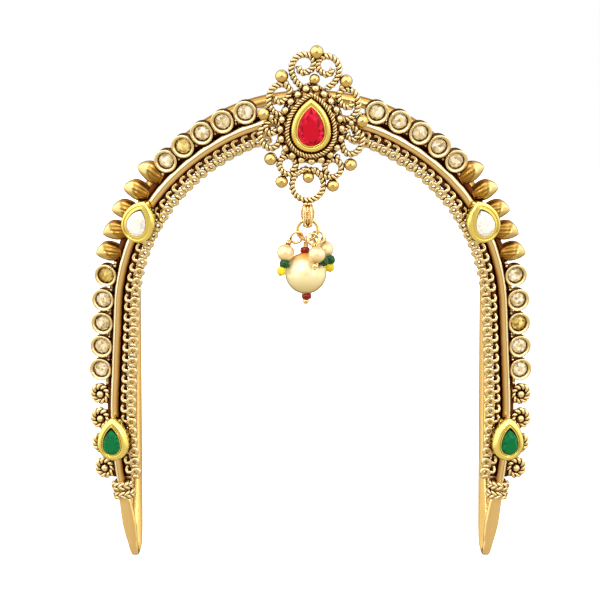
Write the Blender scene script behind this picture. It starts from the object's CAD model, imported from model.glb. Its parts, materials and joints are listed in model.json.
# %% [markdown]
# # A gold armlet with polki, ruby, emerald and pearl
# The armlet clasps the upper arm between a decorated front bow and a plain back strap.
# The solid model gives every place and size, so this lesson starts by loading it, and each
# piece made here is laid over the solid that it stands for.

# %% Load the solid model
import json
import math

import bpy
import numpy as np
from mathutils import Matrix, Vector


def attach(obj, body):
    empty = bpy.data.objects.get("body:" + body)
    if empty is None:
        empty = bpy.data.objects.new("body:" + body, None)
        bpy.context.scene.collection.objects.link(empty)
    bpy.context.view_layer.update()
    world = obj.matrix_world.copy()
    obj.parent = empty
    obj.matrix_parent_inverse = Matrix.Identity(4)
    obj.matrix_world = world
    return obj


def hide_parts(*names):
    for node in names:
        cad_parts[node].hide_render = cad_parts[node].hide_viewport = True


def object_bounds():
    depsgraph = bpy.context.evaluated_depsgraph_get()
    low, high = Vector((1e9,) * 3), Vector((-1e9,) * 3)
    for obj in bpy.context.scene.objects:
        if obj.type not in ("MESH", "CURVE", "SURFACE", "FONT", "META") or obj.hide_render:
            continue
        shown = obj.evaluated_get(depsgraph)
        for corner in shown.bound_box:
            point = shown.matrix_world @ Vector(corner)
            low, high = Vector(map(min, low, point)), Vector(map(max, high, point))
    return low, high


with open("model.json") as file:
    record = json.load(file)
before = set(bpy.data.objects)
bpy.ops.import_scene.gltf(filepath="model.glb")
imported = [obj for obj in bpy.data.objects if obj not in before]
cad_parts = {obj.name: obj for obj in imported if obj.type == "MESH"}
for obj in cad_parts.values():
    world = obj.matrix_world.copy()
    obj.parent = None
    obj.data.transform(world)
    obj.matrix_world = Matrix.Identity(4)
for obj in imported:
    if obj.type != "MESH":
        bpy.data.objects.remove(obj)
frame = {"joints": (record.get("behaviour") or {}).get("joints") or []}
cad_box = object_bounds()
print("solid model, mm:", [[round(1000 * x, 1) for x in corner] for corner in cad_box])

# %% [markdown]
# ## Camera and light
# Jewellery is photographed in a white tent with a hole for the camera. Polished gold is a mirror:
# it shows the tent's walls as broad pale bands, the hole as a darker line between them, and the
# dark end of the room as a brown edge. The world is that tent, and three lamps add the shadows
# and the small bright points on every ball and wire.

# %% Camera
scene = bpy.context.scene
MM = 0.001


def rgb(code):
    """Linear colour of a six-digit screen colour."""
    values = np.array([int(code[i : i + 2], 16) for i in (0, 2, 4)]) / 255
    linear = np.where(values <= 0.04045, values / 12.92, ((values + 0.055) / 1.055) ** 2.4)
    return (*linear.tolist(), 1.0)


# The camera's distance in metres, its line of sight's drop, the point looked at and the lens
FAR, DROP, LOOK_AT, LENS = 0.6, math.radians(4), Vector((-0.0021, 0, 0.0507)), 180
camera = bpy.data.objects.new("camera", bpy.data.cameras.new("camera"))
scene.collection.objects.link(camera)
camera.location = LOOK_AT + FAR * Vector((0, -math.cos(DROP), math.sin(DROP)))
camera.rotation_euler = (math.pi / 2 - DROP, 0, 0)
camera.data.lens, camera.data.clip_start = LENS, 0.01
scene.camera = camera
scene.view_settings.view_transform = "Standard"


# %% Soft boxes
MIDDLE = (0, 0, 0.05)


def soft_box(name, place, size, glow):
    """A rectangular lamp turned to the middle of the armlet. Its watts are its glow times its
    area times pi, so that a larger box of the same glow looks equally bright in the gold."""
    light = bpy.data.lights.new(name, "AREA")
    light.shape, light.size, light.size_y = "RECTANGLE", size[0], size[1]
    light.energy = glow * math.pi * size[0] * size[1]
    lamp = bpy.data.objects.new(name, light)
    scene.collection.objects.link(lamp)
    lamp.location = place
    lamp.rotation_euler = (Vector(MIDDLE) - Vector(place)).to_track_quat("-Z", "Y").to_euler()


soft_box("box_above", (-0.15, -0.25, 0.6), (0.5, 0.35), 1.6)
soft_box("box_key", (-0.2, -0.55, 0.3), (0.07, 0.07), 26.0)
soft_box("box_side", (0.35, -0.4, 0.12), (0.05, 0.12), 14.0)

# %% [markdown]
# ## Shader maths as Python
# A material is easier to read as arithmetic than as a list of nodes. Value wraps one socket and
# overloads the operators, and Paint makes any node with one method.


# %% Value and Paint
class Value:
    """One output socket. Sums, differences and products with it add Math nodes."""

    def __init__(self, paint, socket):
        self.paint, self.socket = paint, socket

    def math(self, operation, a, b):
        return self.paint.add("Math", {"operation": operation}, i0=a, i1=b)

    def __add__(self, other):
        return self.math("ADD", self, other)

    def __sub__(self, other):
        return self.math("SUBTRACT", self, other)

    def __rsub__(self, other):
        return self.math("SUBTRACT", other, self)

    def __mul__(self, other):
        return self.math("MULTIPLY", self, other)

    __radd__, __rmul__ = __add__, __mul__


class Paint:
    """A material, or the world, under construction."""

    def __init__(self, name, owner=None):
        self.owner = owner or bpy.data.materials.new(name)
        self.owner.use_nodes = True
        self.tree = self.owner.node_tree
        self.tree.nodes.clear()

    def add(self, kind, settings=None, out=0, **inputs):
        """Makes a node: settings first, then its inputs by name or as i0, i1, and so on."""
        node = self.tree.nodes.new("ShaderNode" + kind)
        for key, value in (settings or {}).items():
            if key == "stops":
                ramp = node.color_ramp.elements
                while len(ramp) < len(value):
                    ramp.new(0.5)
                for stop, (at, colour) in zip(ramp, value):
                    stop.position, stop.color = at, colour
            else:
                setattr(node, key, value)
        for key, value in inputs.items():
            socket = node.inputs[int(key[1:]) if key[1:].isdigit() else key.replace("_", " ")]
            if isinstance(value, Value):
                self.tree.links.new(value.socket, socket)
            else:
                socket.default_value = value
        return Value(self, node.outputs[out])

    def blend(self, amount, a, b):
        """Colour a where amount is 0 and b where it is 1."""
        return self.add("Mix", {"data_type": "RGBA"}, out=2, i0=amount, i6=a, i7=b)

    def ramp(self, value, *stops):
        """Screen colours that follow a value, each as its place and its code."""
        return self.add("ValToRGB", {"stops": [(at, rgb(code)) for at, code in stops]}, Fac=value)

    def where(self):
        """Place on the armlet, in metres, as the pattern textures want it."""
        return self.add("TexCoord", out=3)

    def spots(self, scale, detail=3.0):
        """Soft noise between 0 and 1, patches a millimetre over scale wide."""
        return self.add("TexNoise", i0=self.where(), Scale=scale * 1000, Detail=detail)

    def chips(self, size):
        """A random number for each of the cells, about size millimetres wide, that fill space."""
        cells = self.add("TexVoronoi", out=1, i0=self.where(), Scale=1000 / size)
        return self.add("SeparateColor", i0=cells)

    def smooth(self, value, low, high):
        """0 below low, 1 above high, and an S curve between."""
        return self.add("MapRange", {"interpolation_type": "SMOOTHSTEP"}, i0=value, i1=low, i2=high)

    def tone(self):
        """The number that the mesh stores at each of its points."""
        return self.add("Attribute", {"attribute_name": "tone"}, out=2)

    def hollows(self, reach):
        """1 on open surfaces, falling to 0 in crevices narrower than reach, in millimetres."""
        return self.add("AmbientOcclusion", {"samples": 6}, out=1, Distance=reach * MM)

    def bump(self, height, depth):
        return self.add("Bump", Height=height, Distance=depth * MM, Strength=1.0)

    def done(self, kind="BsdfPrincipled", output="Material", **sockets):
        shader = self.add(kind, **sockets)
        out = self.tree.nodes.new("ShaderNodeOutput" + output)
        self.tree.links.new(shader.socket, out.inputs[0])
        return self.owner


# %% Tent
def glow(code, strength):
    """A screen colour as light, which may be brighter than white."""
    return (*[strength * c for c in rgb(code)[:3]], 1.0)


# Where the gold sees what: an axis, where the wall begins and where it is full, its colour and glow
WALLS = {
    "left": (0, -0.5, -0.7, "FFFCF4", 1.7),
    "right": (0, 0.55, 0.7, "FFF6E0", 1.4),
    "slope above": (2, 0.14, 0.28, "FFFFFF", 1.8),
    "ceiling": (2, 0.8, 0.95, "F8E8C8", 0.95),
    "floor": (2, -0.1, -0.4, "FFF0D4", 0.8),
    "hole round the camera": (1, -0.96, -0.99, "B88850", 0.42),
    "far end": (1, 0.45, 0.85, "8A5020", 0.35),
}


def tent():
    """The world as gold mirrors it: each wall is laid over the ones before it, and the camera
    itself sees plain white."""
    p = Paint("tent", bpy.data.worlds.new("tent"))
    way = p.add("TexCoord", out=0)
    colour = glow("FAEACC", 0.95)
    for axis, start, full, code, strength in WALLS.values():
        share = p.smooth(p.add("SeparateXYZ", out=axis, i0=way), start, full)
        colour = p.blend(share, colour, glow(code, strength))
    seen = p.add("LightPath", out=0)
    return p.done("Background", "World", Color=p.blend(seen, colour, (1, 1, 1, 1)), Strength=1.0)


scene.world = tent()

# %% [markdown]
# ## Gold
# The armlet has several golds. The filigree and the gallery are antique gold: bright on their
# tops and brown in every crevice, where the finish was left dark. The pins and the bail are plain
# polished gold, chains and collars are a little paler, and the crest's balls are deeper. The big
# settings are burnished foil gold, the yellowest, and the solder behind the rows is brown. Ambient
# occlusion finds the crevices, and a fine noise gives the unevenness of hand-polished metal.


# %% Gold finishes
def gold(name, deep, middle, bright, reach, roughness, grain=0.012):
    """Metal whose colour runs from deep in crevices as wide as reach, in millimetres, to bright
    where it is open. Soft patches vary its shine, and the grain is a bump of that depth."""
    p = Paint(name)
    patch = p.spots(0.9)
    colour = p.ramp(p.hollows(reach) * 0.9 + patch * 0.2, (0.4, deep), (0.72, middle), (0.97, bright))
    return p.done(
        Base_Color=colour,
        Metallic=1.0,
        Roughness=patch * 0.16 + (roughness - 0.08),
        Normal=p.bump(p.spots(9.0, 2.0), grain),
    )


ANTIQUE = gold("antique_gold", "6A3018", "B88E4A", "F2E0AC", 0.9, 0.2, 0.03)
POLISHED = gold("polished_gold", "6A3012", "D0A050", "EED298", 0.5, 0.15)
FOIL = gold("foil_gold", "8A5C08", "DCB030", "F6E684", 0.7, 0.16, 0.02)
LINKS = gold("chain_gold", "62360F", "BC9852", "EEDCAC", 0.9, 0.22, 0.02)
SHADE = gold("shaded_gold", "280A04", "50200E", "7A4822", 1.6, 0.4, 0.03)
BALL_GOLD = gold("ball_gold", "4A2208", "A88036", "E0C47C", 0.8, 0.13)

# %% [markdown]
# ## Surfaces from arrays
# Every new piece is a shape: points, four-sided faces and three-sided faces, with a tone at each
# point that the materials can read. Most shapes are a profile carried along a path.


# %% Shapes
def grid_faces(rows, columns, around, closed=False):
    """Faces of a rows by columns grid; around joins the last column to the first."""
    r = np.arange(rows if closed else rows - 1)[:, None]
    c = np.arange(columns if around else columns - 1)[None, :]
    r1, c1 = (r + 1) % rows, (c + 1) % columns
    corners = [r * columns + c, r * columns + c1, r1 * columns + c1, r1 * columns + c]
    return np.stack(corners, -1).reshape(-1, 4)


def shape(points, quads=(), triangles=(), tone=0.0):
    points = np.asarray(points, float).reshape(-1, 3)
    return {
        "points": points,
        "quads": np.asarray(quads, int).reshape(-1, 4),
        "triangles": np.asarray(triangles, int).reshape(-1, 3),
        "tone": np.broadcast_to(np.asarray(tone, float), len(points)).copy(),
    }


def running(values):
    """The running sum of the values, from 0."""
    return np.concatenate([[0], np.cumsum(values)])


def join(*shapes):
    """Several shapes as one."""
    starts = running([len(s["points"]) for s in shapes])
    made = {key: np.concatenate([s[key] for s in shapes]) for key in ("points", "tone")}
    for key in ("quads", "triangles"):
        made[key] = np.concatenate([s[key] + first for s, first in zip(shapes, starts)])
    return made


# %% Moves
def turned(axis, angle):
    """Matrix of a right-handed turn about X, Y or Z, given as 0, 1 or 2, by radians."""
    c, s = math.cos(angle), math.sin(angle)
    matrix = np.zeros((3, 3))
    j, k = (axis + 1) % 3, (axis + 2) % 3
    matrix[axis, axis], matrix[j, j], matrix[k, k], matrix[j, k], matrix[k, j] = 1, c, c, -s, s
    return matrix


def moved(s, matrix, offset=(0, 0, 0)):
    """The shape with its points multiplied by a matrix and then shifted."""
    return {**s, "points": s["points"] @ np.asarray(matrix).T + np.asarray(offset, float)}


def shifted(s, x, y, z):
    return {**s, "points": s["points"] + np.array([x, y, z], float)}


def mirrored(s):
    """The shape on the other side of the plane x = 0, its faces still outwards."""
    faces = {key: s[key][:, ::-1] for key in ("quads", "triangles")}
    return {**s, **faces, "points": s["points"] * [-1, 1, 1]}


def unit(v):
    return v / np.linalg.norm(v, axis=-1, keepdims=True)


# %% Profiles along a path
def angles(count, start=0.0):
    """Equal steps round a circle, in radians, from a share of a step."""
    return (np.arange(count) + start) * 2 * np.pi / count


def on_oval(a, across, up):
    """Points at the angles a of an oval, from its half width across and its half width up."""
    return np.stack([across * np.cos(a), up * np.sin(a)], -1)


def at_height(outline, z=0.0):
    """An outline's points, given as across and up, with a height added."""
    return np.column_stack([outline, np.full(len(outline), z)])


def fan(centre, a, b):
    """Triangles from one point to the edges that run from each of a to the same one of b."""
    return np.stack([np.full(len(a), centre), a, b], -1)


def capped(points, ends, tone=0.0):
    """Rings of points, joined to one another and closed by a fan to each of the two ends."""
    rings, around = points.shape[:2]
    count, k = rings * around, np.arange(around)
    after, last = (k + 1) % around, (rings - 1) * around
    fans = [fan(count, after, k), fan(count + 1, last + k, last + after)]
    tone = np.broadcast_to(np.asarray(tone, float), (rings, around)).reshape(-1)
    tone = np.concatenate([tone, [tone[0], tone[-1]]])
    points = np.concatenate([points.reshape(-1, 3), ends])
    return shape(points, grid_faces(rings, around, True), np.concatenate(fans), tone)


def square_to(path, up, closed):
    """Two directions at each point of a path: up, made square to the path, and side, which is
    square to both."""
    along = unit(np.roll(path, -1, 0) - np.roll(path, 1, 0) if closed else np.gradient(path, axis=0))
    up = np.broadcast_to(np.asarray(up, float), path.shape)
    up = unit(up - along * np.sum(up * along, 1)[:, None])
    return up, np.cross(up, along)


def sweep(path, outline, up, closed=False, tone=0.0):
    """A profile carried along a path. Each profile point (a, b) stands at path + a * side +
    b * up. A closed path has no ends, and an open one is capped and takes a tone."""
    path, outline = np.asarray(path, float), np.asarray(outline, float)
    up, side = square_to(path, up, closed)
    if outline.ndim == 2:
        outline = np.broadcast_to(outline, (len(path), *outline.shape))
    points = path[:, None] + outline[..., :1] * side[:, None] + outline[..., 1:] * up[:, None]
    if closed:
        return shape(points, grid_faces(*points.shape[:2], True, True))
    return capped(points, [path[0], path[-1]], tone)


def round_outline(radius, sides=10):
    return on_oval(angles(sides), radius, radius)


# %% Pieces
def add_piece(name, s, material, nodes=(), body="armlet", smooth=True):
    """Puts a shape, in millimetres, into a mesh that rides on a body of the solid model."""
    mesh = bpy.data.meshes.new(name)
    polygons = np.concatenate([np.full(len(s["quads"]), 4), np.full(len(s["triangles"]), 3)])
    corners = np.concatenate([s["quads"].ravel(), s["triangles"].ravel()])
    mesh.vertices.add(len(s["points"]))
    mesh.vertices.foreach_set("co", (s["points"] * MM).ravel())
    mesh.loops.add(len(corners))
    mesh.loops.foreach_set("vertex_index", corners)
    mesh.polygons.add(len(polygons))
    mesh.polygons.foreach_set("loop_start", running(polygons)[:-1])
    mesh.polygons.foreach_set("use_smooth", np.full(len(polygons), smooth))
    mesh.attributes.new("tone", "FLOAT", "POINT").data.foreach_set("value", s["tone"])
    mesh.update(calc_edges=True)
    mesh.validate()
    mesh.materials.append(material)
    piece = bpy.data.objects.new(name, mesh)
    scene.collection.objects.link(piece)
    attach(piece, body)
    if nodes:
        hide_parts(*nodes)
    print(f"{name}: {len(polygons)} faces")


def pair(name, right, material, nodes=()):
    """A piece on the right and its mirror image on the left."""
    for side, s in (("right", right), ("left", mirrored(right))):
        add_piece(f"{side}_{name}", s, material, [f"{side}_{node}" for node in nodes])


# %% [markdown]
# ## The two sheets
# Seen from the front, each arch is drawn flat, in across and up. The real arches lean away from
# each other and bulge like the arm they clasp, so a drawing is laid on a leaning sheet that is
# bent round an upright cylinder.

# %% Sheets
FRONT_LEAN, BACK_LEAN = math.radians(12), math.radians(17)
BEND_R, TIP_X, BOW_TOP, STRAP_TOP = 80.0, 35.2, 90.0, 97.0
# Each leaning sheet starts this far off the middle plane and this far up
SHEET_Y, SHEET_Z = 1.27, 1.03


def bulge(u):
    """Height of the bent sheet above its tips: a circle's arch over its chord."""
    return np.sqrt(BEND_R**2 - np.square(u)) - math.sqrt(BEND_R**2 - TIP_X**2)


def lean(vectors, face):
    """Directions on a leaning sheet, as across, up and off, turned into the armlet's frame."""
    x, y, z = np.moveaxis(np.asarray(vectors, float), -1, 0)
    tilt = FRONT_LEAN if face > 0 else BACK_LEAN
    s, c = math.sin(tilt), math.cos(tilt)
    return np.stack([x, -face * y * s - z * c, y * c - face * z * s], -1)


def lean_points(points, face=1):
    return lean(points, face) + [0, -face * SHEET_Y, SHEET_Z]


class Curve:
    """An arch from its top down one side. Heading grows in straight steps of s, and the
    place is the running sum of its cosine across and its sine down."""

    def __init__(self, lengths, headings):
        self.s = np.arange(0, lengths[-1] + 0.01, 0.02)
        self.turn = np.radians(np.interp(self.s, lengths, headings))
        steps = np.diff(self.s)
        middle = (self.turn[1:] + self.turn[:-1]) / 2
        self.x = running(np.cos(middle) * steps)
        self.y = -running(np.sin(middle) * steps)

    def at(self, s):
        """Across, down and heading at a distance s from the top."""
        return [np.interp(s, self.s, values) for values in (self.x, self.y, self.turn)]


# Lengths from the top, and the headings there in degrees
BOW = Curve([0, 16.755, 60.028, 78.028, 96.878, 125], [0, 30, 87, 87, 99, 99])
STRAP = Curve([0, 57.48, 130], [0, 91.1, 91.1])
FACING = 0.5


def on_sheet(local, u, v):
    """Takes a shape drawn across, up and off the sheet to a place on the front sheet."""
    placed = moved(local, turned(1, math.asin(u / BEND_R)), (u, v, bulge(u)))
    return {**placed, "points": lean_points(placed["points"])}


def on_bow(local, s, out=0.0, aim=None, facing=1.0):
    """Takes a shape drawn along, outwards and off the sheet to the right side of the bow, at a
    distance s from the top. aim is how far its outward axis leans from straight up, and facing
    is the share of the sheet's turn that it keeps: the rest rolls it back towards the front."""
    x, y, turn = BOW.at(s)
    if aim is not None:
        local = moved(local, turned(2, turn - math.radians(aim)))
    roll = (1 - facing) * math.asin(x / BEND_R) * math.sin(turn)
    local = moved(local, turned(0, roll), (0, out, 0))
    return on_sheet(moved(local, turned(2, -turn)), x, y + BOW_TOP)


def on_crest(local, v, spin=0.0):
    """Takes a shape to the middle of the front sheet, turned by spin in its plane."""
    return on_sheet(moved(local, turned(2, math.radians(spin))), 0.0, v)


# %% [markdown]
# ## The bow and the strap
# On the real armlet a round tube bends into the bow, is hammered flat below each collar, and
# hooks round at the tip to meet the strap. One sweep with a profile that changes along the way
# gives all of that without a seam.

# %% Arches
COLLAR_S = 98.4
FLARE = COLLAR_S + 1.9
HOOK_V = 1.2
HOOK_STEPS, ARCH_SIDES = 14, 24


def oval_outline(half_width, half_height, squareness, sides):
    """A superellipse: round at squareness 0, boxier as it grows to 1."""
    a = angles(sides, 0.5)
    power = 1 - 0.5 * squareness
    bend = lambda v: np.sign(v) * np.abs(v) ** power
    return np.stack([half_width * bend(np.cos(a)), half_height * bend(np.sin(a))], -1)


def arch_path(curve, top, face, stations):
    """One side of an arch: points on its sheet, then a cubic hook that ends at the tip."""
    x, y, turn = curve.at(stations)
    points = lean_points(np.stack([x, y + top, face * bulge(x)], -1), face)
    across = np.stack([np.sin(turn), np.cos(turn)], -1)
    slope = x / np.sqrt(BEND_R**2 - x**2)
    outward = lean(np.stack([across[:, 0], across[:, 1], -face * across[:, 0] * slope], -1), face)
    heading = unit(points[-1] - points[-2])
    tip = np.array([TIP_X, 0, 0])
    a, b, c = points[-1], points[-1] + 1.5 * heading, tip - [0, face * 0.9, 0]
    t = np.linspace(0, 1, HOOK_STEPS + 1)[1:, None]
    q = 1 - t
    hook = q**3 * a + 3 * q * q * t * b + 3 * q * t * t * c + t**3 * tip
    hook_out = q * outward[-1] + t * np.array([1, 0, 0])
    return np.concatenate([points, hook]), np.concatenate([outward, hook_out])


def both_sides(rows, flip=1):
    """The rows of a right half, which starts at the top, with the left half's rows before them."""
    return np.concatenate([(rows * flip)[:0:-1], rows])


def whole_arch(curve, top, face, foot, sections, ending):
    """Both sides from tip to tip. A row is a distance, half width, half thickness and
    squareness; sections count from the top and ending counts back from the end of the leg. The
    tone runs from 0 on the inner edge to 1 on the outer edge, and is even below the flare. Below
    the foot the rings stand closer."""
    last = np.interp(-HOOK_V, -(curve.y + top), curve.s)
    stations = np.concatenate([np.arange(0, foot, 0.9), np.arange(foot + 0.2, 125, 0.35)])
    stations = np.append(stations[stations < last], last)
    path, outward = arch_path(curve, top, face, stations)
    table = np.array(sections + [(last - row[0], *row[1:]) for row in ending], float)
    s = np.append(stations, last + np.arange(1, HOOK_STEPS + 1) / HOOK_STEPS)
    width, thickness, square = [np.interp(s, table[:, 0], table[:, k])[:, None] for k in (1, 2, 3)]
    outline = oval_outline(thickness, width, square, ARCH_SIDES)
    tone = np.where(s[:, None] < FLARE, 0.5 + 0.5 * np.sin(angles(ARCH_SIDES, 0.5)), 0.32)
    path, outward = [both_sides(rows, [-1, 1, 1]) for rows in (path, outward)]
    return sweep(path, both_sides(outline), outward, tone=both_sides(tone))


# %% Bow and strap
# Half widths and half thicknesses: the round tube's, and the flat tongue's thickness
TUBE, THIN = 0.98, 0.65
TIP_HALF = (-1, 0.75, THIN, 1)
bow = whole_arch(
    BOW, BOW_TOP, 1, 99,
    [(0, TUBE, TUBE, 0), (FLARE, TUBE, TUBE, 0), (FLARE + 0.35, 1.3, THIN, 0.6), (FLARE + 5, 1.5, THIN, 0.6)],
    [(3, 1.42, THIN, 0.6), (1.2, 1.25, THIN, 0.6), (0, 1.0, THIN, 0.6), (-0.6, 0.8, THIN, 0.7), TIP_HALF],
)
strap = whole_arch(
    STRAP, STRAP_TOP, -1, 100,
    [(0, 1.2, 1.1, 0.3)],
    [(14, 1.2, 1.1, 0.3), (3, 1.2, THIN, 1), (0, 1.1, THIN, 1), TIP_HALF],
)


# %% Lines on the bow and the strap
def lined_gold(name, line, roughness):
    """Polished metal whose colour follows the section, from its inner edge to its outer one."""
    p = Paint(name)
    level = p.tone() + p.spots(0.35, 1.0) * 0.08 - 0.04
    grain = p.bump(p.spots(9.0, 2.0), 0.012)
    return p.done(Base_Color=p.ramp(level, *line), Metallic=1.0, Roughness=roughness, Normal=grain)


# Brown edges, a dull line in the middle and a pale rubbed ridge outside it
BOW_LINES = [
    (0.0, "3A1408"), (0.09, "A06C30"), (0.24, "ECCA88"), (0.43, "F2D496"), (0.49, "9A6C34"),
    (0.56, "FAEABC"), (0.74, "FFFAE0"), (0.87, "E0B870"), (0.95, "7A4A20"), (1.0, "3A140A"),
]
# A pale inner edge and a fine brown line outside the middle
STRAP_LINES = [
    (0.0, "B08848"), (0.06, "E4CC8C"), (0.2, "B48E4C"), (0.5, "D0B070"), (0.6, "8A6230"),
    (0.68, "B8904C"), (1.0, "A47C3C"),
]
BOW_GOLD = lined_gold("bow_gold", BOW_LINES, 0.26)
STRAP_GOLD = lined_gold("strap_gold", STRAP_LINES, 0.22)
add_piece("bow_tube", bow, BOW_GOLD, ["front_bow"])
add_piece("strap", strap, STRAP_GOLD, ["back_strap"])

# %% [markdown]
# ## Teardrop settings
# Each big stone lies in a teardrop of burnished foil. Its wall rises to a rounded rim, the foil
# slopes down to a groove, and a thin lip is pressed up round the stone. A teardrop outline is a
# half circle below and two wide arcs that meet above, so an inset outline is exact as well.


# %% Teardrops
def teardrop(w, l, grow, steps=64):
    """Outline round the widest point: a half circle of radius w / 2, and two arcs of one large
    radius that meet at the tip, all moved outwards by grow."""
    a = w / 2
    t = l - a
    r = (a * a + t * t) / w
    swing = math.acos(np.clip((r - a) / (r + grow), -1, 1))
    half = steps // 2
    q = np.linspace(np.pi, 2 * np.pi, half, endpoint=False)
    low = on_oval(q, a + grow, a + grow)
    q = np.linspace(0, swing, half // 2, endpoint=False)
    right = on_oval(q, r + grow, r + grow) - [r - a, 0]
    q = np.linspace(swing, 0, half // 2, endpoint=False)
    left = on_oval(q, -(r + grow), r + grow) + [r - a, 0]
    return np.concatenate([low, right, left])


def round_teardrop(w, l, profile, tones=0):
    """A profile of (inset, height) carried round a teardrop and closed at both ends."""
    rings = np.stack([at_height(teardrop(w, l, -inset), z) for inset, z in profile])
    ends = [[0, 0, profile[0][1]], [0, 0, profile[-1][1]]]
    return capped(rings, ends, np.reshape(tones, (-1, 1)))


def from_widest(s, size, z=0.0):
    """Moves a teardrop, drawn round its widest point, to its middle and up by z."""
    return shifted(s, 0, -(size[1] - size[0]) / 2, z)


# %% Settings
def setting(size, groove):
    """Outer wall, a band that rises in a curve towards the stone, a groove, a thin lip pressed
    over the stone, and the pocket below it. groove is how far the groove lies from the stone."""
    w, l, height, stone_w = size[:4]
    border = (w - stone_w) / 2
    t = np.linspace(0, 1, 9)
    band = border - groove
    rise = [(band * x, height - 0.75 * (1 - x) ** 2.2 * band) for x in t]
    profile = [
        (0.15, 0), (0.03, 0.1), *rise, (band + 0.06, height - 0.16), (band + 0.12, height - 0.16),
        (border - 0.24, height - 0.05), (border - 0.12, height), (border - 0.02, height - 0.07),
        (border, height - 0.25), (border, height - 1.05),
    ]
    tones = [0.2, 0.2, *(0.6 + 0.4 * t), 0.1, 0.1, 0.8, 1, 0.8, 0.2, 0]
    return from_widest(round_teardrop(w, l, profile, tones), size, size[5])


# Width, length and height of a setting, width and length of its stone, and its foot's height
RUBY = (8.3, 11.1, 1.9, 5.0, 7.5, 1.87)
CREST_V, SEAT = 89.4, -0.3
RUBY_AT = CREST_V - 1.6 + (RUBY[1] - RUBY[0]) / 2
# A size as above, the groove, and the place on the bow as on_bow takes it
SIDE_STONES = {
    "crystal": ((6.8, 8.7, 2.1, 4.0, 5.4, 1.0), 0.75, (40.9, SEAT, -19, 1)),
    "emerald": ((6.3, 8.8, 3.0, 3.5, 5.1, 1.3), 0.4, (87, SEAT, 0, FACING)),
}

add_piece("ruby_bezel", on_crest(setting(RUBY, 0.45), RUBY_AT), FOIL, ["ruby_setting"])
for name, (size, groove, place) in SIDE_STONES.items():
    pair(f"{name}_bezel", on_bow(setting(size, groove), *place), FOIL, [f"{name}_setting"])

# %% [markdown]
# ## Cut stones
# A cut stone is a few flat faces, and its life comes from each face having a brightness of its
# own. The faces are made flat, and a seeded draw gives each a tone that its material reads.

# %% Stones
rng = np.random.default_rng(11)


def faceted(s):
    """Every face with points of its own, so that each can hold a tone of its own."""
    quads, triangles = s["quads"], s["triangles"]
    order = np.concatenate([quads.ravel(), triangles.ravel()])
    n = quads.size
    return {
        "points": s["points"][order],
        "quads": np.arange(n).reshape(-1, 4),
        "triangles": np.arange(n, n + triangles.size).reshape(-1, 3),
        "tone": s["tone"][order],
    }


def stone(outline, levels):
    """Facets between copies of an outline: levels rows are height, scale, and a half step turn
    that sets one ring's corners between the next one's. The last ring is closed by the table."""
    n = len(outline)
    rings = []
    for z, size, half_step in levels:
        edge = (outline + np.roll(outline, -1, 0)) / 2 if half_step else outline
        rings.append(at_height(edge * size, z))
    count, k = n * len(levels), np.arange(n)
    after = (k + 1) % n
    triangles = [fan(count, after, k)]
    for i in range(len(levels) - 1):
        a, b = i * n + k, i * n + after
        c, d = a + n, b + n
        if levels[i + 1][2] and not levels[i][2]:
            triangles += [np.stack([a, b, c], -1), np.stack([b, d, c], -1)]
        else:
            triangles += [np.stack([a, d, c], -1), np.stack([a, b, d], -1)]
    triangles.append(fan(count + 1, count - n + k, count - n + after))
    middles = [[0, 0, levels[0][0]], [0, 0, levels[-1][0]]]
    made = faceted(shape(np.concatenate([*rings, middles]), triangles=np.concatenate(triangles)))
    tones = rng.uniform(0, 1, len(made["triangles"]))
    tones[-n:] = 0.5 + 0.15 * rng.uniform(-1, 1)
    made["tone"] = np.repeat(tones, 3)
    return made


CUT_LEVELS = [(-0.9, 0.35, False), (-0.15, 1, False), (0.1, 1, False), (0.36, 0.82, True), (0.55, 0.6, False)]


def cut_stone(size):
    """A teardrop stone whose girdle lies just below the setting's lip."""
    made = stone(teardrop(size[3], size[4], 0, 16), CUT_LEVELS)
    return from_widest(made, size, size[5] + size[2] - 0.15)


# %% Gem finishes
def gem(name, dark, middle, light, coat, chip=None, share=0.0, roughness=0.08, ior=1.5):
    """A stone whose facets run from dark to light by their tone. Where chip is given, cells of
    that size, seen inside the stone, take their share of the tone."""
    p = Paint(name)
    level = p.tone() * (1 - share)
    if chip:
        level = level + p.chips(chip) * share
    colour = p.ramp(level, (0.0, dark), (0.5, middle), (1.0, light))
    return p.done(Base_Color=colour, Roughness=roughness, IOR=ior, Coat_Weight=coat, Coat_Roughness=0.04)


GEMS = {
    "ruby": gem("ruby_red", "8A0014", "C40A28", "E8204A", 0.0, roughness=0.35, ior=1.25),
    "emerald": gem("emerald_green", "00542C", "00703C", "0C8450", 0.0, roughness=0.35, ior=1.25),
    "crystal": gem("crystal_clear", "C4C2BE", "F0EFEC", "FFFFFF", 0.3, 0.7, 0.25),
}
POLKI = gem("polki", "7A5C2C", "E4D4A4", "FFFFFF", 0.4, 0.6, 0.75)
GOLDEN_POLKI = gem("golden_polki", "5A3C0C", "CCAC4A", "FDF4B4", 0.4, 0.6, 0.75)


# %% Stones in their settings
def side_stone(side, name, made, look, node):
    """Puts in a flat-faced stone, mirrored where it belongs on the left."""
    made = mirrored(made) if side == "left" else made
    add_piece(f"{side}_{name}", made, look, [f"{side}_{node}"], smooth=False)


add_piece("ruby_stone", on_crest(cut_stone(RUBY), RUBY_AT), GEMS["ruby"], ["ruby"], smooth=False)
for name, (size, _, place) in SIDE_STONES.items():
    for side in ("left", "right"):
        side_stone(side, f"{name}_stone", on_bow(cut_stone(size), *place), GEMS[name], name)

# %% Polki
# Each row along the bow: the first place, the step to the next, and how many
UPPER_CUPS, SHELLS, LOWER_CUPS, ROSETTES = (11.5, 4.3, 5), (32.9, 4.4, 5), (54.6, 4.8, 5), (79.2, 4.95, 4)
CUP_OFFSET, POLKI_R = 3.3, 1.5


def stations(*rows):
    return [first + i * step for first, step, count in rows for i in range(count)]


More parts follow.
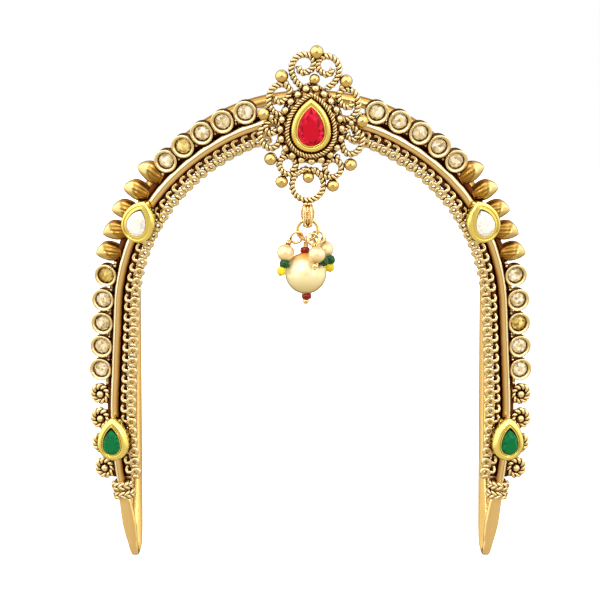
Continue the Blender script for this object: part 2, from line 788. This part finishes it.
def polki_stone():
    """An uncut-style round: a broad table, ten facets round it and ten below the girdle."""
    levels = [(0.1, 0.7, False), (0.6, 1, False), (0.7, 1, False), (0.92, 0.86, True), (1.1, 0.6, False)]
    return stone(round_outline(POLKI_R), levels)


GOLDEN = {("left", 4), ("left", 6), ("right", 8)}
for side in ("left", "right"):
    for i, s in enumerate(stations(UPPER_CUPS, LOWER_CUPS), 1):
        made = on_bow(polki_stone(), s, CUP_OFFSET, facing=FACING)
        look = GOLDEN_POLKI if (side, i) in GOLDEN else POLKI
        side_stone(side, f"stone_{i}", made, look, f"polki_{i}")

# %% [markdown]
# ## Twisted wire
# Filigree is two thin wires twisted into a rope, bent into scrolls and soldered where they
# touch. A strand is a tube carried along a helix: it circles the scroll's line once a pitch.


# %% Rope
def lengths(line):
    """How far along a line of straight runs each of its points lies."""
    return running(np.linalg.norm(np.diff(line, axis=0), axis=1))


def along_line(line, s):
    """Points at the distances s along a line of straight runs."""
    return np.stack([np.interp(s, lengths(line), column) for column in line.T], -1)


def smooth_line(points, step=0.1):
    """A Catmull-Rom curve through the points, cut into equal steps of its length."""
    points = np.asarray(points, float)
    padded = np.concatenate([2 * points[:1] - points[1:2], points, 2 * points[-1:] - points[-2:-1]])
    a, b, c, d = padded[:-3, None], padded[1:-2, None], padded[2:-1, None], padded[3:, None]
    t = np.linspace(0, 1, 24, endpoint=False)[None, :, None]
    square, cube = 2 * a - 5 * b + 4 * c - d, 3 * b - a - 3 * c + d
    curve = 0.5 * (2 * b + (c - a) * t + square * t**2 + cube * t**3)
    curve = np.concatenate([curve.reshape(-1, points.shape[1]), padded[-2][None]])
    whole = lengths(curve)[-1]
    return along_line(curve, np.linspace(0, whole, max(8, int(whole / step))))


def rope(path, radius, pitch, closed=False, sides=8, strand=0.53):
    """Two strands twisted round a flat path, half a turn apart, a full turn every pitch. A
    strand's radius is its share of the rope's, and it circles the path so as to stay inside."""
    path = at_height(np.asarray(path, float))
    up, side = square_to(path, (0, 0, 1), closed)
    gaps = np.linalg.norm(np.diff(path, axis=0, append=path[:1] if closed else path[-1:]), axis=1)
    whole = gaps.sum()
    turns = max(1, round(whole / pitch)) if closed else whole / pitch
    strands = []
    for start in (0, np.pi):
        angle = (start + running(gaps)[:-1] / whole * turns * 2 * np.pi)[:, None]
        away = np.cos(angle) * side + np.sin(angle) * up
        line = path + away * radius * (1 - strand)
        strands.append(sweep(line, round_outline(radius * strand, sides), away, closed))
    return join(*strands)


def wire(points, radius, sides=10, step=0.12):
    """A round wire through the points."""
    path = smooth_line(points, step)
    up = np.cross(unit(path[1] - path[0]), [0.3, 1, 0.2])
    return sweep(path, round_outline(radius, sides), up)


def circle_line(radius, centre=(0, 0), start=0, step=0.1):
    """Points round a circle in the plane, a step apart, from the start in degrees."""
    count = int(radius * 2 * math.pi / step)
    a = np.radians(np.linspace(start, start + 360, count, endpoint=False))
    return on_oval(a, radius, radius) + centre


# %% [markdown]
# ## The crest
# Round the ruby lie a rope border and a row of grains, and behind them four pairs of scrolls
# open upwards and outwards, with a ball in each notch. The whole garland sits a few degrees
# turned on the real armlet, because it was soldered by hand. Each scroll is drawn once, on the
# right, from its inner hook to its outer end, and mirrored.

# %% Balls
def lathe(profile, segments):
    """A profile of (radius, height) turned round Z; it starts and ends on the axis."""
    profile, a = np.asarray(profile, float), angles(segments)
    radii, heights = profile[1:-1, :1], profile[1:-1, 1:]
    points = np.stack([radii * np.cos(a), radii * np.sin(a), np.repeat(heights, segments, 1)], -1)
    return capped(points, [[0, 0, profile[0, 1]], [0, 0, profile[-1, 1]]])


def ball(radius, centre, segments=20, flat=1.0):
    """A sphere of latitude rings, pressed to flat times its height."""
    q = np.linspace(-np.pi / 2, np.pi / 2, segments // 2 + 1)
    return shifted(lathe(on_oval(q, radius, flat * radius), segments), *centre)


# %% Filigree
CREST_TURN, FILIGREE_W, ROPE_R = 4.4, 1.58, 0.66
SCROLLS = [
    [
        (3.2, 10.5), (2.9, 9.75), (2.1, 9.45), (1.1, 9.9), (0.45, 10.7), (0.45, 11.9), (1.2, 12.75),
        (2.4, 12.95), (3.6, 12.4), (4.35, 11.2), (4.5, 9.9), (4.1, 8.6), (3.3, 7.5), (2.3, 6.8),
    ],
    [
        (7.4, 4.4), (6.9, 3.6), (6.0, 3.55), (5.2, 4.1), (4.7, 5.0), (4.6, 5.9), (5.3, 6.75), (6.4, 6.95),
        (7.6, 6.3), (8.3, 5.1), (8.45, 3.7), (8.0, 2.3), (7.0, 1.3), (5.9, 1.1), (5.0, 1.6),
    ],
    [
        (6.7, -1.5), (7.1, -2.5), (8.1, -2.6), (8.75, -1.8), (8.6, -0.8), (7.7, -0.1), (6.6, -0.35),
        (5.9, -1.4), (5.75, -2.7), (6.0, -4.2), (6.8, -5.35), (8.0, -5.5), (9.1, -4.7), (9.65, -3.4),
        (9.6, -2.1), (9.3, -1.2),
    ],
    [
        (3.3, -9.6), (2.75, -8.6), (3.0, -7.5), (3.9, -6.85), (4.9, -6.95), (5.75, -7.7), (5.9, -8.8),
        (5.3, -9.8), (4.2, -10.3), (2.9, -10.2), (1.7, -9.6), (0.7, -8.9),
    ],
]
# How far each pair of scrolls sits to the right of the middle
SCROLL_SHIFTS = (0, 0.15, 0.25, 0.5)
BALL_R, HANGING, HANGING_R = 1.24, (0.3, -12.2), 3.0
# The balls in the notches, on the left and then on the right
NOTCHES = [
    (-6.2, 8.5), (-9.0, 1.04), (-7.1, -7.6), (-4.7, -11.9),
    (5.95, 8.5), (9.6, 1.04), (8.1, -7.6), (5.1, -11.9),
]
# All balls as across, up, off and radius, with those on top, over the ruby and over the ring
BALLS = [(x, y, 0, BALL_R) for x, y in NOTCHES]
BALLS += [(0, 13.6, 0, BALL_R + 0.05), (0, 8.5, 0.35, 1.0), (0.3, -10.6, 0.2, 1.15)]
# The small solder balls on each side: across from a middle of their own, up, off and radius
SMALL_BALLS = [(0, 7.6, 0.6, 0.3, 0.62), (0, 5.3, 7.3, 0.2, 0.55), (0.4, 5.1, -6.2, 0.1, 0.55)]


def on_garland(*shapes):
    """Joins shapes drawn round the crest's middle and sets them on it with its small turn."""
    return on_crest(shifted(join(*shapes), 0, 0, FILIGREE_W), CREST_V, -CREST_TURN)


parts = []
for number, (points, shift) in enumerate(zip(SCROLLS, SCROLL_SHIFTS)):
    for side in (1, -1):
        scroll = rope(smooth_line(points) * [side, 1], ROPE_R, 1.65, strand=0.5)
        parts.append(shifted(scroll, shift, 0, 0.08 * (number % 2)))
parts.append(rope(circle_line(HANGING_R, HANGING), ROPE_R, 1.65, closed=True, strand=0.5))
for side in (1, -1):
    parts += [ball(r, (middle + side * x, y, z), 12) for middle, x, y, z, r in SMALL_BALLS]
add_piece("crest_balls", on_garland(*[ball(r, (x, y, z)) for x, y, z, r in BALLS]), BALL_GOLD)
add_piece("filigree", on_garland(*parts), ANTIQUE, ["crest"])

# %% [markdown]
# The grains are small balls on a plate the shape of the ruby's setting, grown outwards. A finer
# rope lies between them and the setting, and another one lower down, outside them.

# %% Grains
GRAIN_ROW, GRAIN_R, GRAINS = 1.56, 0.76, 21


def round_ruby(grow, count, start=0.0):
    """Points spread evenly along the ruby setting's outline, grown outwards."""
    outline = teardrop(RUBY[0], RUBY[1], grow, 256)
    loop = np.concatenate([outline, outline[:1]])
    return along_line(loop, (np.arange(count) / count + start) % 1 * lengths(loop)[-1])


grains = round_ruby(GRAIN_ROW, GRAINS, 0.25 + 0.5 / GRAINS)
parts = [ball(GRAIN_R, (x, y, 2.3), 14) for x, y in grains]
parts.append(shifted(rope(round_ruby(1.85, 360), 0.5, 1.1, closed=True, sides=6), 0, 0, 1.1))
plate_profile = [(0.3, 1.0), (0.0, 1.1), (0.0, 1.8), (0.2, 1.95), (0.9, 2.3), (2.0, 2.4)]
plate = shifted(round_teardrop(RUBY[0] + 2.6, RUBY[1] + 3.0, plate_profile), 0, -0.2, 0)
add_piece("grains", on_crest(from_widest(join(*parts, plate), RUBY), RUBY_AT), ANTIQUE, ["grain_plate"])
border = rope(round_ruby(0.36, 340), 0.48, 1.2, closed=True, sides=6, strand=0.5)
add_piece("grain_rope", on_crest(from_widest(border, RUBY, 3.2), RUBY_AT), ANTIQUE)

# %% [markdown]
# ## Gallery
# Cups, shells and rosettes follow one another along the bow's outer edge on a common backing.
# A cup is a turned profile: outer wall, thin rounded rim, and the inner wall down to its stone.
# Small solder balls fill the corners between the cups and the tube.

# %% Cups
CUP_R, PAD_LOW, RIM, SOLDER_GAP = 2.25, -0.9, 1.4, 0.35


def cup():
    r = CUP_R
    profile = [
        (0, PAD_LOW), (r - 0.25, PAD_LOW), (r - 0.1, PAD_LOW + 0.15), (r - 0.05, 0.6), (r, 1.0),
        (r + 0.02, 1.25), (r - 0.05, RIM - 0.02), (r - 0.16, RIM + 0.03), (r - 0.3, RIM),
        (r - 0.55, RIM - 0.22), (r - 0.64, RIM - 0.4), (r - 0.68, 0.5), (0, 0.05),
    ]
    return lathe(profile, 36)


def backing(first, last, out, half_width, steps):
    """A flat strip along the bow, on the sheet's bend, at a distance outwards from its line."""
    x, y, turn = BOW.at(np.linspace(first, last, steps))
    u, v = x + out * np.sin(turn), y + BOW_TOP + out * np.cos(turn)
    path = lean_points(np.stack([u, v, bulge(u) - 0.45], -1))
    bent = np.arcsin(u / BEND_R)
    off = lean(np.stack([np.sin(bent), 0 * u, np.cos(bent)], -1), 1)
    return sweep(path, oval_outline(half_width, 0.4, 0.8, 12), off)


cups = [on_bow(cup(), s, CUP_OFFSET, facing=FACING) for s in stations(UPPER_CUPS, LOWER_CUPS)]
for first, step, count in (UPPER_CUPS, LOWER_CUPS):
    for s in stations((first - 0.5 * step, step, count + 1)):
        for aside in (-SOLDER_GAP, SOLDER_GAP):
            cups.append(on_bow(ball(0.42, (0, 0, 0.1), 10), s + aside, 1.5 + SOLDER_GAP))
pair("cups", join(*cups), ANTIQUE, ["gallery"])
pair("gallery_backing", join(backing(9.4, 77.5, 1.45, 0.65, 160), backing(77.5, 96.0, 1.2, 0.45, 40)), SHADE)

# %% [markdown]
# ## Shell leaves
# Each leaf is a bud: its root is ribbed and brown, and its outer half is a smooth polished cap
# that comes to a blunt point. The surface is a dome over a leaf outline, with ribs that fade
# out at the cap, and it is closed below by a flat underside.

# %% Shells
SHELL_L = 5.4
# Columns: share of the length from the root, half width towards the top, half width below
SHELL_OUTLINE = np.array([
    [0.0, 1.3, 1.2], [0.2, 2.0, 1.55], [0.45, 2.35, 1.6], [0.65, 2.2, 1.35], [0.82, 1.6, 1.0],
    [0.94, 0.85, 0.6], [1.0, 0.06, 0.06],
])


def shell_leaf():
    """A lopsided bud, b along it and a across it. Its half width follows the outline's two
    columns, and its height is a round dome across times a hump along, less ribs that fan out
    from the root and stop at a crease, where the smooth cap begins."""
    rows, columns = 34, 41
    b = np.linspace(0, 1, rows)[:, None] ** 0.8
    a = np.linspace(-1, 1, columns)[None, :]
    line = smooth_line(SHELL_OUTLINE * [SHELL_L, 1, 1], 0.05)
    upper, lower = [np.interp(b * SHELL_L, line[:, 0], line[:, k]) for k in (1, 2)]
    half = np.where(a < 0, upper, lower)
    hump = 1.9 * np.sin(np.pi * (0.16 + 0.76 * b)) ** 0.75
    dome = np.sqrt(np.clip(1 - a**2, 0, 1)) ** 0.9
    edge = 0.46 - 0.3 * a - 0.1 * a**2
    ribbed = 1 / (1 + np.exp((b - edge) * 22))
    crease = np.exp(-(((b - edge) / 0.05) ** 2))
    ribs = ribbed * (0.5 - 0.5 * np.cos((a + 0.25 * b) * np.pi * 6)) * np.sqrt(b)
    high = PAD_LOW + 0.25 + dome * (hump - 0.26 * ribs - 0.1 * crease + 0.1 * (1 - ribbed))
    x, y = np.broadcast_arrays(half * a, SHELL_L * (b - 0.45))
    top = np.stack([x, y, high], -1)
    low = top.copy()
    low[..., 2] = PAD_LOW
    cap, root = (1 - ribbed) * (0.72 - 0.2 * a), ribbed * (0.3 + 0.6 * b) * (1 - 0.75 * ribs)
    tone = np.clip(cap + root - 0.25 * crease, 0, 1)
    tone = tone * (0.4 + 0.6 * np.clip((1 - np.abs(a)) / 0.15, 0, 1))
    quads = grid_faces(rows, columns, False)
    upper = shape(top, quads[:, ::-1], tone=tone.reshape(-1))
    lower = shape(low, quads, tone=0.0)
    first = np.arange(columns)
    last = first + (rows - 1) * columns
    n = rows * columns
    left, right = np.arange(rows) * columns, np.arange(rows) * columns + columns - 1
    edges = (first[::-1], right[::-1], last, left)
    rim = [np.stack([e[:-1], e[1:], e[1:] + n, e[:-1] + n], -1) for e in edges]
    solid = join(upper, lower)
    solid["quads"] = np.concatenate([solid["quads"], *rim])
    return solid


def leaf_gold():
    """Antique gold whose tone runs from the brown root to the pale polished cap."""
    p = Paint("leaf_gold")
    tone = p.tone()
    level = tone * 0.75 + p.hollows(1.0) * 0.25
    colour = p.ramp(level, (0.14, "4A1C06"), (0.4, "8A561C"), (0.62, "B08C40"), (0.92, "E6D496"))
    return p.done(Base_Color=colour, Metallic=1.0, Roughness=0.34 - tone * 0.1)


LEAF = leaf_gold()
# How far each leaf leans from straight up, in degrees
SHELL_AIMS = [62, 72, 84, 98, 92]
leaf = shifted(shell_leaf(), 0, 0.35, 0)
leaves = [on_bow(leaf, s, CUP_OFFSET, aim, FACING) for s, aim in zip(stations(SHELLS), SHELL_AIMS)]
pair("shells", join(*leaves), LEAF)

# %% [markdown]
# ## Rosettes and collars
# A rosette is a ring of rope with a ball in its middle, and its end runs back to the bow. A
# collar is the same rope wound round the foot of the bow.

# %% Rosettes
ROSETTE_R = 1.55


def rosette():
    disc = lathe([(0, -0.5), (ROSETTE_R, -0.5), (ROSETTE_R, -0.3), (0, -0.25)], 24)
    outer = shifted(rope(circle_line(ROSETTE_R), 0.76, 1.95, closed=True, strand=0.5), 0, 0, 0.05)
    tail = rope(smooth_line([(0.9, -1.2), (0.5, -1.9), (-0.4, -2.3), (-1.4, -2.25)], 0.12), 0.42, 1.1)
    return join(outer, disc, ball(0.8, (0, 0, 0.35), 16), shifted(tail, 0, 0, -0.2))


rosettes = [on_bow(rosette(), s, CUP_OFFSET + 0.1, facing=FACING) for s in stations(ROSETTES)]
pair("rosettes", join(*rosettes), ANTIQUE)

# %% Collars
COLLAR_R, COLLAR_TURNS, COLLAR_PITCH = 1.72, 4, 0.93
# Turns a shape's Z axis to X, its X to Y and its Y to Z
ALONG_X = np.array([[0, 0, 1], [1, 0, 0], [0, 1, 0]])


def collar():
    """Rope rings round the bow's line, which is the shape's X axis, on a plain sleeve. Every
    other ring is twisted the other way, so that two neighbours look plaited."""
    rings = []
    for i in range(COLLAR_TURNS):
        turn = rope(circle_line(COLLAR_R, start=70 * i, step=0.12), 0.58, 2.4, closed=True, strand=0.56)
        turn = mirrored(turn) if i % 2 else turn
        x = (i - (COLLAR_TURNS - 1) / 2) * COLLAR_PITCH
        rings.append(moved(turn, ALONG_X @ turned(0, math.radians(6 * (-1) ** i)), (x, 0, 0)))
    half = COLLAR_PITCH * (COLLAR_TURNS - 1) / 2 + 0.3
    edge = [(COLLAR_R, half - 0.3), (1.2, half), (0, half)]
    sleeve = lathe([(r, -x) for r, x in edge[::-1]] + edge, 28)
    return join(*rings, moved(sleeve, ALONG_X))


pair("collar_rope", on_bow(collar(), COLLAR_S), LINKS, ["collar"])

# %% [markdown]
# ## Chain
# The chain is soldered flat to the bow's inner edge. Each link shows a hook of wire that grips the
# next one, with a small ring inside it and a tilted ring between. No two links of a hand-soldered
# chain lie alike, so a seeded draw slips and twists each a little. A dark strip of solder runs
# behind them all.

# %% Chain
CHAIN_OFFSET, CHAIN_LIFT, LINK_STEP = 2.45, -0.3, 2.1
# The chain's own curve runs inside the bow's, so its straight stretches are as long and its arcs
# are shorter
CHAIN_LINE = Curve([0, 15.47, 56.31, 74.31, 92.65, 106], [0, 30, 87, 87, 99, 99])
HOOK = [
    (-1.05, 1.0, 0), (-0.4, 1.25, 0.25), (0.2, 0.95, 0.4), (0.15, 0.35, 0.4), (0.5, -0.05, 0.2),
    (1.15, 0.2, 0),
]


def hoop(radius, section, segments, stretch=0.0):
    """A section carried round Z; stretch draws the circle out along Y by a straight run."""
    path = at_height(round_outline(radius, segments))
    path[:, 1] += np.sign(np.sin(angles(segments) + 1e-9)) * stretch / 2
    return sweep(path, section, (0, 0, 1), closed=True)


def ring(radius, wire, segments, sides, stretch=0.0):
    return hoop(radius, round_outline(wire, sides), segments, stretch)


def tilted(s, about_y, about_x):
    """The shape turned about Y and then about X, in degrees."""
    return moved(s, turned(0, math.radians(about_x)) @ turned(1, math.radians(about_y)))


def chain_link():
    """Drawn with X along the chain and Y outwards: an S of wire that hooks into the next one, a
    small ring on its inner side, and a tilted ring that bridges to the next."""
    small = shifted(tilted(ring(0.66, 0.42, 20, 8), 8, 18), 0.1, -0.72, 0.05)
    bridge = shifted(tilted(ring(0.46, 0.36, 14, 8), 55, 10), 1.1, -0.62, -0.05)
    return join(wire(HOOK, 0.4, 8, 0.18), small, bridge)


def on_chain(local, s):
    x, y, turn = CHAIN_LINE.at(s)
    return on_sheet(moved(local, turned(2, -turn), (0, 0, CHAIN_LIFT)), x, y + BOW_TOP - CHAIN_OFFSET)


places = np.arange(8.6, 91.6, LINK_STEP)
slips, twists = rng.uniform(-0.12, 0.12, len(places)), rng.uniform(-0.16, 0.16, len(places))
links = [on_chain(moved(chain_link(), turned(2, twist)), s) for s, twist in zip(places + slips, twists)]
pair("chain_links", join(*links), LINKS, ["chain"])
pair("chain_solder", backing(8.5, 95.8, -1.55, 0.75, 200), SHADE)

# %% [markdown]
# ## The pearl drop
# Everything below the bail swings, so these pieces ride on the drop. Places are given from the
# middle of the hanging ring's wire at its lowest point: across, in depth and up.

# %% Drop finishes
joint = next(j for j in frame["joints"] if j["name"] == "drop_swing")
JUMP_R, JUMP_WIRE, JUMP_DROP = 1.95, 0.35, 5.6
RING_LOW = np.array(joint["pos_m"]) * 1000 + [0, 0, JUMP_DROP - JUMP_R]
PEARL_D, PEARL_DROP, PIN_X, SMALL_D = 7.9, 13.9, -0.35, 3.3


def pearl_finish(name, low, middle, top, shine):
    """Nacre: its layers throw the light back partly like metal, by their share of shine, under a
    clear coat. The tone is the height on the pearl, and the top mirrors the gold above it."""
    p = Paint(name)
    height = p.tone() + p.spots(0.3, 1.0) * 0.12
    colour = p.ramp(height, (0.1, low), (0.5, middle), (0.82, middle), (0.98, top))
    return p.done(Base_Color=colour, Roughness=0.24, Metallic=shine, Coat_Weight=0.7, Coat_Roughness=0.08)


def bead_finish(name, dark, light):
    p = Paint(name)
    colour = p.blend(p.spots(1.2), rgb(dark), rgb(light))
    return p.done(Base_Color=colour, Roughness=0.05, IOR=1.35, Coat_Weight=0.1)


NACRE = pearl_finish("pearl_nacre", "DCCA8C", "F6EABA", "F0B040", 0.25)
SMALL_NACRE = pearl_finish("small_pearl_nacre", "D8B070", "F0DCA8", "DCB058", 0.35)
RED_BEAD = bead_finish("red_bead", "540402", "A00C06")
GREEN_BEAD = bead_finish("green_bead", "012410", "0A642E")
YELLOW_BEAD = bead_finish("yellow_bead", "C8A808", "F0E838")


# %% Pearls and beads
def pointing(direction):
    """Matrix that turns +Z to a direction."""
    z = unit(np.asarray(direction, float))
    x = unit(np.cross([0, 1, 0.01], z))
    return np.stack([x, np.cross(z, x), z], -1)


def bead(radius, hole, centre, flat, direction=(0, 0, 1)):
    """A round bead pierced along its axis: an oval section turned round the hole."""
    section = on_oval(angles(12), (radius - hole) / 2, radius * flat)
    return moved(hoop((radius + hole) / 2, section, 24), pointing(direction), centre)


def pearl_ball(diameter, hole, direction, centre):
    """A sphere whose ends are dimpled and pierced for the pin."""
    low = math.asin(2 * hole / diameter)
    q = np.linspace(-np.pi / 2 + low, np.pi / 2 - low, 32)
    r = diameter / 2
    made = lathe([(0, -r + 0.7), *on_oval(q, r, r), (0, r - 0.7)], 48)
    made["tone"] = 0.5 + made["points"][:, 2] / diameter
    return moved(made, pointing(direction), centre)


def hung(name, s, material, nodes=(), body="drop"):
    """A piece of the drop, drawn from the hanging ring's wire."""
    add_piece(name, shifted(s, *RING_LOW), material, nodes, body)


def coil(start, end, radius, thickness, turns):
    """A wire wound round the line from start to end: a helix with a full circle each turn."""
    start, end = np.asarray(start, float), np.asarray(end, float)
    t = np.linspace(0, 1, turns * 16 + 1)[:, None]
    x, y, z = pointing(end - start).T
    a = t * turns * 2 * np.pi
    path = start + t * (end - start) + (radius * np.cos(a)) * x + (radius * np.sin(a)) * y
    return sweep(path, round_outline(thickness, 8), z)


big_pearl = pearl_ball(PEARL_D, 0.35, (0, 0, 1), (PIN_X, 0, -PEARL_DROP))
hung("big_pearl", big_pearl, NACRE, ["large_pearl"])
red = join(
    bead(0.92, 0.3, (PIN_X - 0.15, 0, -PEARL_DROP + 4.3), 0.72),
    bead(0.95, 0.3, (PIN_X + 0.15, 0, -PEARL_DROP - 4.4), 0.62),
)
hung("red_beads", red, RED_BEAD)

# %% [markdown]
# The bail is soldered below the hanging ring: two stout wires with a thin one sunk between them,
# bent into an upright oval seen on edge, whose lower bend holds the jump ring. Loose wire ends and
# small solder balls lie round it. The large pearl's head pin is a loop, a wound neck and a stem
# with a ball at its foot.

# %% Bail and rings
BAIL_R, BAIL_WIRE = 1.1, 0.36
# Middles of the oval's two bends, the oval's own middle and its straight run
BAIL_HIGH, BAIL_LOW = -2.11, JUMP_R - JUMP_DROP
BAIL_MIDDLE, BAIL_RUN = (BAIL_LOW + BAIL_HIGH) / 2, BAIL_HIGH - BAIL_LOW
FRONT_BEND = [
    (-0.7, -0.95, -4.1), (-0.45, -0.95, -4.75), (0.05, -0.6, -5.0), (0.55, -0.95, -4.7), (0.7, -0.95, -4.1),
]
SIDE_WIRE = np.array([(0.75, 0.3, -0.95), (1.15, 0.1, -1.9), (1.1, 0.1, -3.1), (0.8, 0.3, -3.7)])
FACE_ON = turned(0, math.pi / 2)

stout = ring(BAIL_R, BAIL_WIRE, 40, 12, BAIL_RUN)
bail = [moved(stout, ALONG_X, (side * 0.6, 0, BAIL_MIDDLE)) for side in (-1, 1)]
bail.append(moved(ring(1.06, 0.32, 40, 10, BAIL_RUN), ALONG_X, (0, 0, BAIL_MIDDLE)))
bail += [ball(0.5, (side * 0.35, -0.45, -0.72), 12, 0.8) for side in (-1, 1)]
bail.append(moved(ring(0.34, 0.17, 24, 8, 0.9), FACE_ON, (0, -1.28, BAIL_MIDDLE + 0.1)))
bail += [wire(SIDE_WIRE * [side, 1, 1], 0.2) for side in (-1, 1)]
bail.append(wire(FRONT_BEND, 0.3))
hung("bail_wires", join(*bail), POLISHED, ["bail"], body="armlet")
jump_ring = moved(ring(JUMP_R, JUMP_WIRE, 48, 12), FACE_ON, (0, 0, -JUMP_DROP))
hung("hanging_jump_ring", jump_ring, POLISHED, ["jump_ring"])

eye_z, pin_foot = -JUMP_DROP - JUMP_R, -19.0
pearl_pin = [
    moved(ring(0.62, 0.2, 24, 10), ALONG_X, (0, 0, eye_z)),
    wire([(0, 0, eye_z - 0.6), (0, 0, -14), (0, 0, pin_foot)], 0.28),
    coil((0, 0, eye_z - 0.55), (0, 0, eye_z - 1.35), 0.34, 0.16, 3),
    ball(0.6, (0, 0, pin_foot - 0.25), 20),
    bead(0.7, 0.25, (0, 0, -PEARL_DROP + 3.93), 0.3),
    bead(0.75, 0.25, (0, 0, -PEARL_DROP - 3.93), 0.3),
]
hung("pearl_head_pin", shifted(join(*pearl_pin), PIN_X, 0, 0), POLISHED, ["pearl_pin"])

# %% [markdown]
# Three small pearls hang on pins of their own from the jump ring, each with a loop, a wound neck
# and seed beads below.

# %% Small pearls
# Columns: angle of the loop on the jump ring, the pearl's middle, and the way its stem points
SMALL_PEARLS = {
    "left": (215, (-4.2, -1.9, -9.9), (-0.24, -0.1, -0.96)),
    "front": (300, (1.75, -4.6, -10.1), (0.02, -0.18, -0.98)),
    "back": (325, (3.3, 2.1, -9.5), (0.2, 0.12, -0.97)),
}
# The feet of the stems, and the beads on them: middle, radius, and whose way they follow
FEET = {"left": (-5.2, -2.35, -14.0), "front": (1.3, -4.95, -12.7), "back": (4.35, 1.5, -13.5)}
GREEN = [
    ((-4.4, -2.05, -11.95), 0.95, "left"), ((4.35, 0.9, -11.4), 0.9, "back"),
    ((3.0, -2.8, -11.5), 0.95, "front"),
]
YELLOW = [((-5.0, -2.3, -13.4), 0.88, "left"), ((4.2, 1.3, -12.8), 0.95, "back")]
# A loose wire's end on the right of the front pearl
SPARE = [(1.4, -0.4, -7.2), (2.4, -1.9, -9.2), (2.95, -2.7, -11.0), (3.1, -2.9, -12.4)]
LOOP_R, LOOP_SEAT, TO_VIEWER = 1.2, 0.75, np.array([0, -1, 0])


def small_pin(where):
    """A loop through the jump ring, a neck wound above the pearl, and the stem to its foot."""
    angle, middle, way = [np.array(value, float) for value in SMALL_PEARLS[where]]
    angle, way, foot = math.radians(angle), unit(way), np.array(FEET[where])
    held = np.array([JUMP_R * math.cos(angle), 0, JUMP_R * math.sin(angle) - JUMP_DROP])
    top = middle - way * (SMALL_D / 2 + 0.15)
    away = unit(top - held)
    tangent = np.array([-math.sin(angle), 0, math.cos(angle)])
    normal = unit(0.55 * unit(tangent - away * (tangent @ away)) + 0.83 * TO_VIEWER)
    middle_of_loop = held + LOOP_SEAT * away
    neck = middle_of_loop + LOOP_R * unit((top - held) - normal * ((top - held) @ normal))
    return join(
        moved(ring(LOOP_R, 0.25, 32, 10), pointing(normal), middle_of_loop),
        wire([neck, (neck + top) / 2 + 0.02 * way, top, middle + 1.9 * way, foot], 0.19, 8),
        coil(neck + 0.3 * (top - neck), top + 0.15 * way, 0.4, 0.17, 3),
        ball(0.36, foot, 12),
    )


def seed_beads(rows, flat=0.85, hole=0.22):
    """Beads from rows as above, joined."""
    return join(*[bead(r, hole, middle, flat, SMALL_PEARLS[where][2]) for middle, r, where in rows])


for where, (angle, middle, way) in SMALL_PEARLS.items():
    pearl = pearl_ball(SMALL_D, 0.22, way, middle)
    hung(f"{where}_pearl", pearl, SMALL_NACRE, [f"{where}_small_pearl"])
    hung(f"{where}_pearl_pin", small_pin(where), POLISHED, [f"{where}_small_pin"])
hung("green_beads", seed_beads(GREEN), GREEN_BEAD)
hung("yellow_beads", seed_beads(YELLOW), YELLOW_BEAD)
gold_bead = seed_beads([((1.36, -4.88, -12.25), 0.5, "front")], 0.8, 0.2)
hung("gold_bead", join(gold_bead, wire(SPARE, 0.17, 8), ball(0.3, (3.1, -2.9, -12.5), 12)), POLISHED)

# %% [markdown]
# ## Floor
# The armlet stands on a pale floor, which only catches a faint shadow.


# %% Floor
WHITE = (1, 1, 1, 1)


def floor_plane(size):
    mesh = bpy.data.meshes.new("floor")
    corners = [(-size, -size, 0), (size, -size, 0), (size, size, 0), (-size, size, 0)]
    mesh.from_pydata(corners, [], [(0, 1, 2, 3)])
    p = Paint("floor_white")
    look = p.done(Base_Color=WHITE, Roughness=1.0, Emission_Color=WHITE, Emission_Strength=0.6)
    mesh.materials.append(look)
    plane = bpy.data.objects.new("floor", mesh)
    scene.collection.objects.link(plane)
    return plane


floor = floor_plane(3.0)
floor.location.z = cad_box[0].z
floor.visible_glossy = floor.visible_diffuse = False
